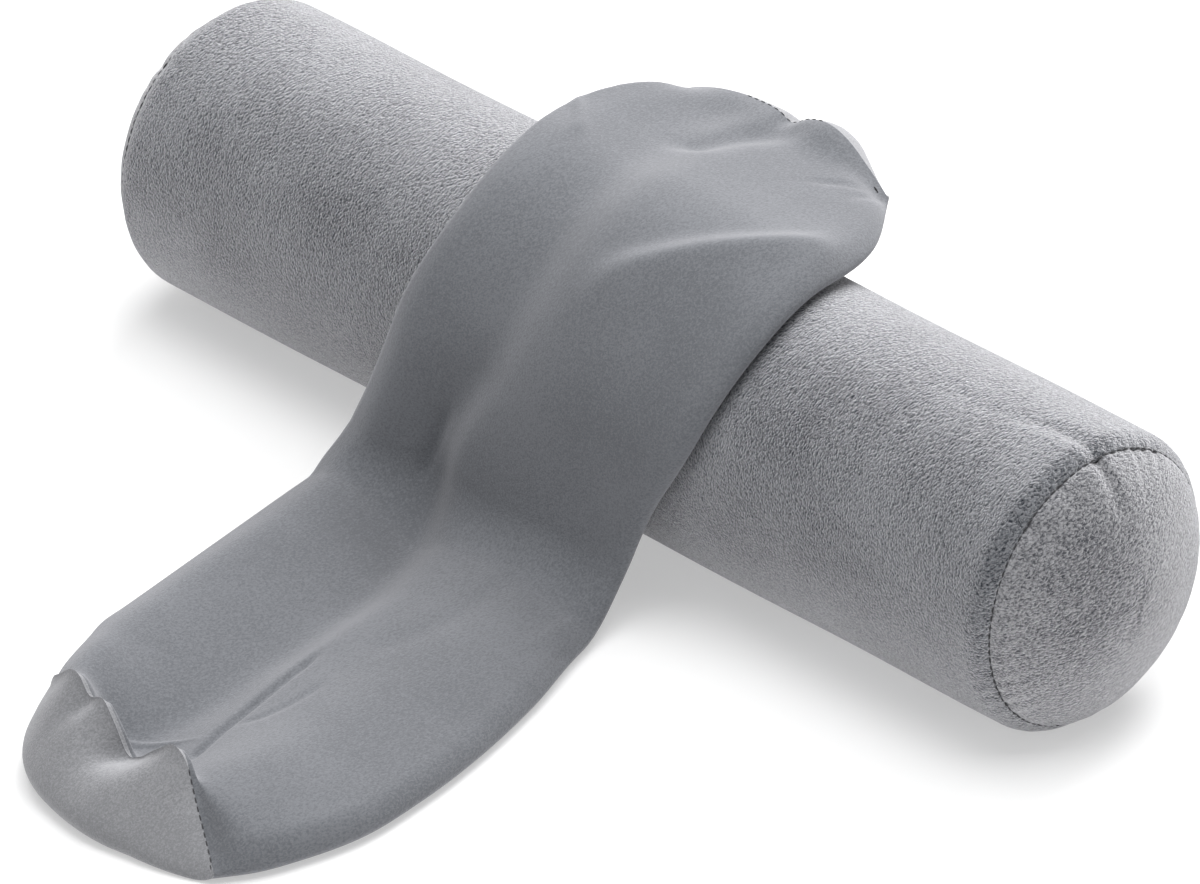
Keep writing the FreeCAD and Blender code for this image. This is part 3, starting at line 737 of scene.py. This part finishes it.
def through(places, values, at):
    """Smooth curve through points (cubic pieces with the slope of the neighbours)."""
    places = np.array(places, float)
    values = np.array(values, float)
    slope = np.gradient(values, places)
    i = np.clip(np.searchsorted(places, at) - 1, 0, len(places) - 2)
    span = places[i + 1] - places[i]
    t = np.clip((at - places[i]) / span, 0, 1)
    first = (2 * t**3 - 3 * t**2 + 1) * values[i] + (t**3 - 2 * t**2 + t) * span * slope[i]
    last = (3 * t**2 - 2 * t**3) * values[i + 1] + (t**3 - t**2) * span * slope[i + 1]
    return first + last


def support_line():
    """Line under the spare cover: distance, y, z and heading, from its bends worked out.

    The heading is level, rises to the climb over the first bend, falls to the droop over
    the roll, and stays there; y and z are its running sums.
    """
    step = 0.2 * mm
    before, beyond = 40 * mm, 450 * mm
    run = np.arange(-before, beyond, step)
    knots = np.cumsum([0.0, floor_run, bend_run, climb_run, over_run])
    heading = np.interp(run, knots, [0.0, 0.0, climb, climb, -droop])
    y = start_y - before + np.concatenate([[0], np.cumsum(np.cos(heading[:-1]) * step)])
    z = lie + np.concatenate([[0], np.cumsum(np.sin(heading[:-1]) * step)])
    return run, y, z, heading


support = support_line()


def lifted(x, run, height):
    """Points at a height above the support line, square to it: millimetres in, metres out."""
    line, y, z, heading = support
    y, z, heading = [np.interp(run * mm, line, each) for each in (y, z, heading)]
    height = height * mm
    return np.stack([x * mm, y - height * np.sin(heading), z + height * np.cos(heading)], axis=-1)


# Both edges and the lines on which the cloth folds, by distance along the cover. An edge
# gives its place across; each fold line gives its place across, its height and how softly
# the cloth turns there. All are in millimetres.
left_edge = (
    [0, 30, 58, 66, 78, 176, 192, 209, 232, 262, 290, 312, 340, 360, 378, 396],
    [-18, -33.5, -46, -49.5, -51.6, -69.3, -71.8, -69.8, -62.5, -55, -50, -52.5, -60.5, -62.7, -58, -46],
)
right_edge = (
    [0, 12, 28, 48, 78, 108, 140, 176, 204, 228, 262, 296, 324, 360, 394],
    [72.6, 79.5, 84.5, 88, 86, 80.5, 71.5, 58.3, 53, 58, 72.5, 77.8, 74.3, 63, 37],
)
fold_lines = [
    # Crest of the left lobe
    ([20, 45, 60, 80, 100, 140, 170, 195, 220, 250, 280, 310, 350, 392],
     [-12, -26, -32, -37, -41, -47, -54, -58, -53, -46, -41, -41, -49, -38],
     [30, 28.5, 26, 24.5, 24, 23, 22, 21, 20, 19, 17, 15, 12.5, 12],
     [5, 5, 6, 6, 6, 6, 6, 6, 6, 6, 6, 6, 6, 6]),
    # Valley
    ([20, 40, 60, 80, 100, 125, 148, 172, 192, 210, 226, 242, 256, 282, 306, 328, 352, 392],
     [2, 5, 5, 3, 1, -2, -7, -16, -24, -28, -28, -21, -14, -10, -12, -16, -21, -31],
     [5, 4.5, 4.5, 4.5, 4.5, 4.5, 4.5, 4.5, 4.5, 4.5, 4.5, 5, 5.5, 6, 6.5, 7, 7.5, 9],
     [5, 5, 5, 6, 6, 6, 6, 5, 5, 5, 6, 7, 8, 8, 8, 8, 8, 6]),
    # Top of the flank right of the valley
    ([20, 38, 56, 68, 86, 102, 125, 148, 172, 192, 210, 226, 242, 256, 282, 306, 328, 352, 392],
     [30, 25, 19, 17, 14, 12, 9, 5, -4, -12, -15, -15, -8, 1, 6, 5, 1, -4, -15],
     [11, 11, 11, 11, 12, 13, 15, 16, 16, 16, 16, 15.5, 15, 14.5, 14.5, 15, 15, 14.5, 14],
     [1.5, 1.5, 1.5, 1.5, 1.5, 2, 4, 6, 5, 5, 5, 5, 6, 7, 8, 8, 8, 7, 5]),
    # Foot of the ridge
    ([20, 60, 100, 140, 170, 195, 225, 250, 282, 294, 304, 314, 324, 336, 350, 392],
     [40, 34, 30, 30, 22, 10, 0, 4, 9, 14, 24, 36, 47, 54, 50, 22],
     [20, 16, 15, 16.5, 17, 16.5, 15.5, 15, 14.5, 14, 13.5, 13, 12.5, 12, 12, 12],
     [8, 8, 8, 8, 8, 8, 8, 8, 8, 6, 4, 4, 4, 5, 8, 8]),
    # Ridge, or crest of the right lobe
    ([0, 20, 40, 60, 100, 140, 170, 200, 225, 250, 282, 294, 302, 310, 322, 334, 350, 392],
     [52, 50, 48, 48, 44, 45, 38, 24, 14, 13, 18, 24, 34, 44, 57, 63, 58, 32],
     [26, 25, 22.5, 20, 18, 18, 17.5, 17, 16, 15.5, 16.5, 18, 18.5, 18.2, 17.2, 15.5, 12.5, 11],
     [10, 10, 10, 12, 14, 14, 14, 12, 12, 10, 6, 3.5, 2.5, 2.5, 2.5, 4, 8, 8]),
]

# Height of the upper skin at its two edges
left_start = ([0, 60, 120, 392], [13, 13, 12.5, 12])
right_start = ([0, 20, 60, 130, 200, 300, 345, 392], [11, 11, 10, 9, 8.5, 8, 8, 7])

# Creases: distances along, places across, depth (less than nothing stands up) and width
creases = [
    ([30, 56, 68, 86, 98, 108], [29.5, 22, 19, 15.5, 13.5, 12], 2.4, 1.7),
    ([54, 66, 84, 96], [24, 28, 29, 27], 0.7, 1.5),
    ([22, 34, 50], [-2, 6, 22], -0.8, 1.6),
    ([200, 214, 226, 240], [-35, -33, -30, -26], 1.1, 2.6),
    ([322, 332, 342, 352], [-38, -43, -53, -62], -1.1, 3.0),
    ([156, 166, 178, 188], [62, 61.5, 59.5, 55], 1.6, 1.8),
    ([150, 166, 184], [55, 54, 50], -0.6, 3.0),
    ([346, 362, 380, 400], [-15, -10, -3, 8], 2.8, 7.5),
    ([360, 372, 386], [26, 33, 41], 0.9, 1.6),
    ([366, 378, 390], [42, 42, 41], 0.9, 1.6),
    ([110, 140, 180], [25, 30, 26], 0.5, 5.0),
]


def crease_depth(x, run):
    """Sum of the creases: bell curves across each line, faded out at its two ends."""
    fade_run = 9
    depth = np.zeros(x.shape)
    for along, line, deep, wide in creases:
        bell = np.exp(-(((x - through(along, line, run)) / wide) ** 2))
        fade = np.clip((run - along[0]) / fade_run, 0, 1) * np.clip((along[-1] - run) / fade_run, 0, 1)
        depth += deep * bell * fade**1.5
    return depth


def ramp(distance, soft):
    """Nothing before a fold line and the distance after it, turning over softly."""
    return (distance + np.sqrt(distance**2 + soft**2)) / 2


def strip_top(x, run, x_left, x_right):
    """Height of the upper skin above the support line, in millimetres.

    It is straight between fold lines; at each line its slope changes through a soft ramp.
    """
    places = [x_left] + [through(line[0], line[1], run) for line in fold_lines] + [x_right]
    heights = [through(*left_start, run)] + [through(line[0], line[2], run) for line in fold_lines]
    heights += [through(*right_start, run)]
    softness = [through(line[0], line[3], run) for line in fold_lines]
    least_gap = 2
    for i in range(1, len(places) - 1):
        places[i] = np.maximum(places[i], places[i - 1] + least_gap)
    for i in range(len(places) - 2, 0, -1):
        places[i] = np.minimum(places[i], places[i + 1] - least_gap)
    slopes = [(h1 - h0) / (x1 - x0) for h0, h1, x0, x1 in zip(heights, heights[1:], places, places[1:])]
    height = heights[0] + slopes[0] * (x - places[0])
    for i, soft in enumerate(softness):
        height = height + (slopes[i + 1] - slopes[i]) * ramp(x - places[i + 1], soft)
    return height - crease_depth(x, run)


# Near end: the seam stands up in a wavy rim. By share of the width from -1 to 1, its
# height, how far it leans back, and the smooth rim into which its waves die out.
rim_places = [-1, -0.9, -0.7, -0.47, -0.39, -0.25, -0.16, -0.06, 0.08, 0.27, 0.4, 0.47, 0.56, 0.75, 1]
rim_heights = [4, 15.5, 26.5, 32.3, 27.6, 28.8, 22.5, 14.3, 16.8, 25, 29, 26.9, 20.3, 12, 4]
lean_places = [-1, -0.6, -0.22, -0.06, 0.22, 0.44, 0.7, 1]
rim_leans = [0, -2.5, 1, 3, 3.5, 7.5, 5, 0]
smooth_places = [-1, -0.8, -0.5, -0.25, 0, 0.25, 0.5, 0.7, 0.88, 1.0]
smooth_rim = [4, 21, 29.5, 30, 27, 26, 22.5, 14, 8, 4]

# Far end: height of its seam by place across, in millimetres
far_places = [-50, -38.8, -22, -12, -6.5, 0.8, 9, 17, 28, 39]
far_heights = [8, 11.8, 14.2, 14, 12.4, 16.2, 18, 16.4, 10.3, 2.7]


def lip_share(share):
    """How much of the rim rolls over: all of its left part, none at the two corners.

    It rises evenly from the left corner and falls evenly in the right half.
    """
    rise_from, rise_width = -0.92, 0.15
    fall_to, fall_width = 0.52, 0.12
    rise = np.clip((share - rise_from) / rise_width, 0, 1)
    return rise * np.clip((fall_to - share) / fall_width, 0, 1)


# Columns of the grid in the upper skin and in the lower one
upper_columns = 200
lower_columns = 130


def strip_points():
    """Closed section carried along the support line: upper skin, then lower skin.

    Across, the grid crowds towards both edges, where a quarter round joins the skins.
    Bell curves of the distance take the upper skin up into the near rim and over to the
    far seam. The left wall is pushed in where the zip shows. Lengths are in millimetres.
    """
    dense_share = 0.16
    along = np.concatenate([np.linspace(0, dense_share, 56)[:-1], np.linspace(dense_share, 1.0, 166)])
    turn = np.concatenate([
        np.linspace(0, math.pi, upper_columns, endpoint=False),
        np.linspace(math.pi, 2 * math.pi, lower_columns, endpoint=False),
    ])
    along, turn = np.meshgrid(along, turn, indexing="ij")
    share = -np.cos(turn)
    base = spare_length * along

    near_skew, right_skew = 30, 0.09
    skew = near_skew * (1 - along) ** 3
    run = base + (right_skew + (1 - right_skew) * (1 - share) / 2) * skew
    x_left = through(*left_edge, base + skew)
    x_right = through(*right_edge, base)
    x = x_left + (x_right - x_left) * (share + 1) / 2

    left_round, right_round = 5.0, 6.0
    from_left = np.clip((x - x_left) / left_round, 0, 1)
    from_right = np.clip((x_right - x) / right_round, 0, 1)
    rounded = np.sqrt(1 - (1 - from_left) ** 2) * np.sqrt(1 - (1 - from_right) ** 2)
    middle = wall_height + (fold_height - wall_height) * (share + 1) / 2
    upper = middle + (strip_top(x, run, x_left, x_right) - middle) * rounded

    lip_fall, near_reach, far_reach = 1.6, 6.5, 9.0
    rim = through(rim_places, rim_heights, share) - lip_fall * lip_share(share)
    stand = np.exp(-((base / near_reach) ** 2))
    upper = upper + (np.maximum(rim, middle) - upper) * stand
    far_rim = through(far_places, far_heights, x)
    upper = upper + (far_rim - upper) * np.exp(-(((spare_length - base) / far_reach) ** 2))
    is_upper = turn <= math.pi
    height = np.where(is_upper, upper, middle * (1 - rounded))
    lean = (through(lean_places, rim_leans, share) + lip_share(share)) * stand
    run = run + np.where(is_upper, lean, 0)

    trench_from, trench_to, trench_fade, left_wall = 66, 366, 3, -0.88
    trench_depth, trench_half, trench_edge = 3.0, 4.2, 0.2
    zipped = np.clip((run - trench_from) / trench_fade, 0, 1) * (share < left_wall)
    zipped = zipped * np.clip((trench_to - run) / trench_fade, 0, 1)
    beside = np.abs(height - wall_height)
    x = x + trench_depth * zipped / (1 + np.exp((beside - trench_half) / trench_edge))
    return lifted(x, run, height)


spare_points = strip_points()
spare_tube = skin("spare_velvet_tube", spare_points)
spare_tube.data.materials.append(spare_velvet)
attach(spare_tube, "spare_cover")
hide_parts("spare_tube")

# Spare cover, ends.
# Two rounds of the same velvet, empty and slack, in lighter greys than the tube: painted
# light on the ends. The near one bulges out over the table below its rim; the far one hangs
# down behind the roll.

# How far the near round bulges out, in millimetres, by share of the width from -1 to 1
front_bulge = (
    [-1.0, -0.83, -0.64, -0.47, -0.29, -0.08, 0.14, 0.38, 0.64, 0.83, 1.0],
    [0, 9.5, 17, 22, 25, 26, 25, 22, 15.5, 8.5, 0],
)

# The level way out from the near seam, square to it
near_outward = np.array([-0.2521, -0.9677, 0.0])


def near_end_points():
    """Surface by share down the round and share across the seam.

    It starts at the standing seam, rolls over the lip, runs out to the bulge, turns under
    to the seam's lower side and is tucked in behind it. The rim's waves die out on the way
    down, and the lip's roll rises and dies away early on it.
    """
    ring = spare_points[0]
    top = ring[: upper_columns + 1]
    bottom = np.concatenate([ring[:1], ring[upper_columns:][::-1]])
    share = -np.cos(np.linspace(0, math.pi, upper_columns + 1))
    low_share = (bottom[:, 0] - ring[0, 0]) / (ring[upper_columns, 0] - ring[0, 0]) * 2 - 1
    order = np.argsort(low_share)
    low = np.stack([np.interp(share, low_share[order], bottom[order, i]) for i in range(3)], axis=-1)

    rows = 60
    down = (np.linspace(0, 1, rows) ** 1.5)[:, None]
    way = [0, 0.06, 0.15, 0.4, 0.62, 0.78, 1]
    out = through(way, [0, 0.02, 0.22, 0.7, 1.0, 0.84, 0], down)
    fall = through(way, [1, 0.99, 0.92, 0.63, 0.27, 0.03, 0], down)
    wave = (through(rim_places, rim_heights, share) - through(smooth_places, smooth_rim, share)) * mm
    wave_reach = 0.30
    wave = wave * (1 - np.exp(-((down / wave_reach) ** 2)))
    blend = (1 - np.cos(math.pi * down)) / 2
    points = np.zeros((rows, upper_columns + 1, 3))
    points[..., :2] = top[None, :, :2] + (low[None, :, :2] - top[None, :, :2]) * blend[..., None]
    points[..., 2] = low[None, :, 2] + (top[None, :, 2] - wave - low[None, :, 2]) * fall

    lip_reach, lip_rise, lip_out = 0.03, 2.4, 1.2
    gap_reach, gap_out = 0.012, 0.8
    lip = lip_share(share) * mm
    roll_over = (down / lip_reach) * np.exp(1 - down / lip_reach) * lip
    bulge = through(*front_bulge, share) * mm
    points[..., 2] += lip_rise * roll_over
    points += (out * bulge + lip_out * roll_over)[..., None] * near_outward
    points += (np.clip(down / gap_reach, 0, 1) * gap_out * lip)[..., None] * near_outward

    tuck_depth, tuck_rise = 24 * mm, 1.3 * mm
    tuck = np.linspace(0, 1, 10)[1:, None]
    tucked = tuck_depth * tuck * np.sqrt(np.clip(1 - share**2, 0, 1))
    slack = points[-1][None] - tucked[..., None] * near_outward
    slack[..., 2] += tuck_rise * np.minimum(1, 3 * tuck) * np.sqrt(np.clip(1 - share**4, 0, 1))
    return np.concatenate([points, slack])


spare_near_end = skin("spare_velvet_end_near", near_end_points(), around=False)
spare_near_end.data.materials.append(spare_round_velvet_painted_lighter)
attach(spare_near_end, "spare_cover")
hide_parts("spare_end_near")


def far_end_points():
    """Surface by share of the way out and turn about the seam: a limp, doubled round.

    Its spine leaves the seam steeper than the droop and curls down and under at a nearly
    even rate; its sections tilt with it, eased in from the droop. The left half's width
    follows a quarter ellipse, the right half's narrows almost evenly, and the two layers
    come together towards the tip.
    """
    ring = spare_points[-1]
    middle = ring.mean(axis=0)
    level = np.array([0.0, math.cos(droop), -math.sin(droop)])
    over = np.array([0.0, math.sin(droop), math.cos(droop)])

    spine_length, samples = 55 * mm, 400
    first_bend, whole_bend, bend_power, bend_ease = math.radians(22), math.radians(150), 1.1, 9
    dense = np.linspace(0, 1, samples)
    bend = droop + first_bend + whole_bend * dense**bend_power
    step = spine_length / (samples - 1)
    y = middle[1] + np.concatenate([[0], np.cumsum(np.cos(bend[:-1]) * step)])
    z = middle[2] - np.concatenate([[0], np.cumsum(np.sin(bend[:-1]) * step)])

    right_power, tip_share = 1.1, 0.3
    outwards = np.sin(np.linspace(0, math.pi / 2, 34))[:-1, None]
    bent = np.interp(outwards, dense, bend)
    bent = droop + (bent - droop) * (1 - np.exp(-bend_ease * outwards))
    wide = np.sqrt(1 - outwards**2)
    thin = (tip_share + (1 - tip_share) * (1 - outwards)) * np.sqrt(wide)
    aside = (ring[:, 0] - middle[0])[None]
    aside = aside * np.where(aside > 0, (1 - outwards) ** right_power, wide)
    ahead = ((ring - middle) @ level)[None] * (1 - outwards)
    above = ((ring - middle) @ over)[None] * thin
    points = np.zeros((len(outwards), len(ring), 3))
    points[..., 0] = middle[0] + aside
    points[..., 1] = np.interp(outwards, dense, y) + above * np.sin(bent) + ahead * np.cos(bent)
    points[..., 2] = np.interp(outwards, dense, z) + above * np.cos(bent) - ahead * np.sin(bent)
    return points, np.array([middle[0], y[-1], z[-1]])


far_points, far_tip = far_end_points()
spare_far_end = skin("spare_velvet_end_far", far_points, tip=far_tip)
spare_far_end.data.materials.append(spare_round_velvet_painted_lighter)
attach(spare_far_end, "spare_cover")
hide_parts("spare_end_far")

# Spare cover, seam threads.
# The same dark thread joins each round to the tube, one row of stitches along each seam.


def seam_row(name, ring, seen_from, seen_to, sink):
    """Stitches at even steps along a closed line of points, lying outwards of its middle.

    They sink into the cloth outside the stretch between two places across, where the
    round folds over them.
    """
    ring = np.concatenate([ring, ring[:1]])
    run = np.concatenate([[0], np.cumsum(np.linalg.norm(np.diff(ring, axis=0), axis=1))])
    stops = np.arange(0, run[-1] - stitch_length, stitch_length + stitch_gap)

    def seam_at(where):
        """Points of the line at distances along it."""
        return np.stack([np.interp(where, run, ring[:, i]) for i in range(3)], axis=-1)

    half_step, bedded, end_gap = 1.2 * mm, 0.1 * mm, 2.5 * mm
    thickness, lift = 0.8 * thread_thickness, 0.1 * mm
    along = seam_at(stops + half_step) - seam_at(stops - half_step)
    along /= np.linalg.norm(along, axis=1, keepdims=True)
    face = np.linalg.svd(ring - ring.mean(axis=0))[2][2]
    outward = np.cross(along, face)
    turned = np.sign(np.sum(outward * (seam_at(stops) - ring.mean(axis=0)), axis=1, keepdims=True))
    outward *= np.where(turned == 0, 1, turned) / np.linalg.norm(outward, axis=1, keepdims=True)
    middle = seam_at(stops) - outward * bedded

    most_down, most_up, level_share = -2.6 * mm, 1.2 * mm, 0.6
    hidden = (middle[:, 0] < seen_from) | (middle[:, 0] > seen_to)
    inward = np.clip(level_share * (ring[:, 2].mean() - middle[:, 2]), most_down, most_up)
    middle[:, 1] += np.where(hidden, sink, 0)
    middle[:, 2] += np.where(hidden, inward, 0)
    middle[:, 0] = np.clip(middle[:, 0], ring[:, 0].min() + end_gap, ring[:, 0].max() - end_gap)
    return stitches(name, middle, along, outward, stitch_length, thickness, lift, dark_thread)


for name, ring, node, seen_from, seen_to, sink in (
    ("spare_stitches_near", spare_points[0], "spare_seam_thread_near", 46 * mm, 73 * mm, 0.0),
    ("spare_stitches_far", spare_points[-1], "spare_seam_thread_far", -27 * mm, 8 * mm, -3 * mm),
):
    row = seam_row(name, ring, seen_from, seen_to, sink)
    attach(row, "spare_cover")
    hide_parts(node)

# Zip of the spare cover.
# The same zip, closed, in the left wall of the empty cover, half way up.

# Runs, insets and the shift between the two rows of teeth, in millimetres
spare_tape_run = (66.5, 366.0)
spare_tape_inset = 2.7
spare_tape_width = 2.7 * mm
spare_tape_thickness = 0.5 * mm
spare_tape_aside = 1.6 * mm
spare_teeth_run = (77.5, 363.0)
spare_teeth_inset = 2.3
spare_teeth_shift = 0.6


def wall_line(run, inset, height):
    """Points on the left wall, the way along it, its outward side and the way up it."""

    def wall_at(where):
        """Points of the wall at distances along the cover."""
        return lifted(through(*left_edge, where) + inset, where, height)

    half_step = 0.5
    middle = wall_at(run)
    along = wall_at(run + half_step) - wall_at(run - half_step)
    along /= np.linalg.norm(along, axis=1, keepdims=True)
    heading = np.interp(run * mm, support[0], support[3])
    upward = np.stack([0 * heading, -np.sin(heading), np.cos(heading)], axis=1)
    outward = np.cross(along, upward)
    outward *= -np.sign(outward[:, :1])
    return middle, along, outward / np.linalg.norm(outward, axis=1, keepdims=True), upward


for word, sign in (("upper", 1), ("lower", -1)):
    run = np.linspace(*spare_tape_run, 150)
    middle, along, outward, upward = wall_line(run, spare_tape_inset, wall_height)
    band = tape(
        "spare_tape_" + word, middle + upward * sign * spare_tape_aside, -outward, sign * upward,
        spare_tape_width, spare_tape_thickness,
    )
    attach(band, "spare_cover")
    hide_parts("spare_zip_tape_" + word)
    run = np.arange(*spare_teeth_run, teeth_pitch / mm) + (0.0 if sign > 0 else spare_teeth_shift)
    middle, along, outward, upward = wall_line(run, spare_teeth_inset, wall_height)
    coil = stitches(
        "spare_teeth_" + word, middle + upward * sign * teeth_aside, upward, outward,
        tooth_length, tooth_thickness, tooth_lift, coil_nylon,
    )
    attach(coil, "spare_cover")
    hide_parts("spare_zip_coil_" + word)

# Two stops side by side at the start of the teeth and one across their end
stop_run = np.array([76.0, 76.0, 364.6])
stop_rise = np.array([1.5, -1.5, 0.0]) * mm
stop_length = 2.0 * mm
stop_thickness = 0.8 * mm
stop_lift = 0.1 * mm
middle, along, outward, upward = wall_line(stop_run, spare_teeth_inset, wall_height)
stops = stitches(
    "spare_stops", middle + upward * stop_rise[:, None], along, outward,
    stop_length, stop_thickness, stop_lift, zip_enamel,
)
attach(stops, "spare_cover")
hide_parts("spare_zip_stops")
for name in ("spare_zip_slider", "spare_zip_pull"):
    recoat(name, zip_enamel)
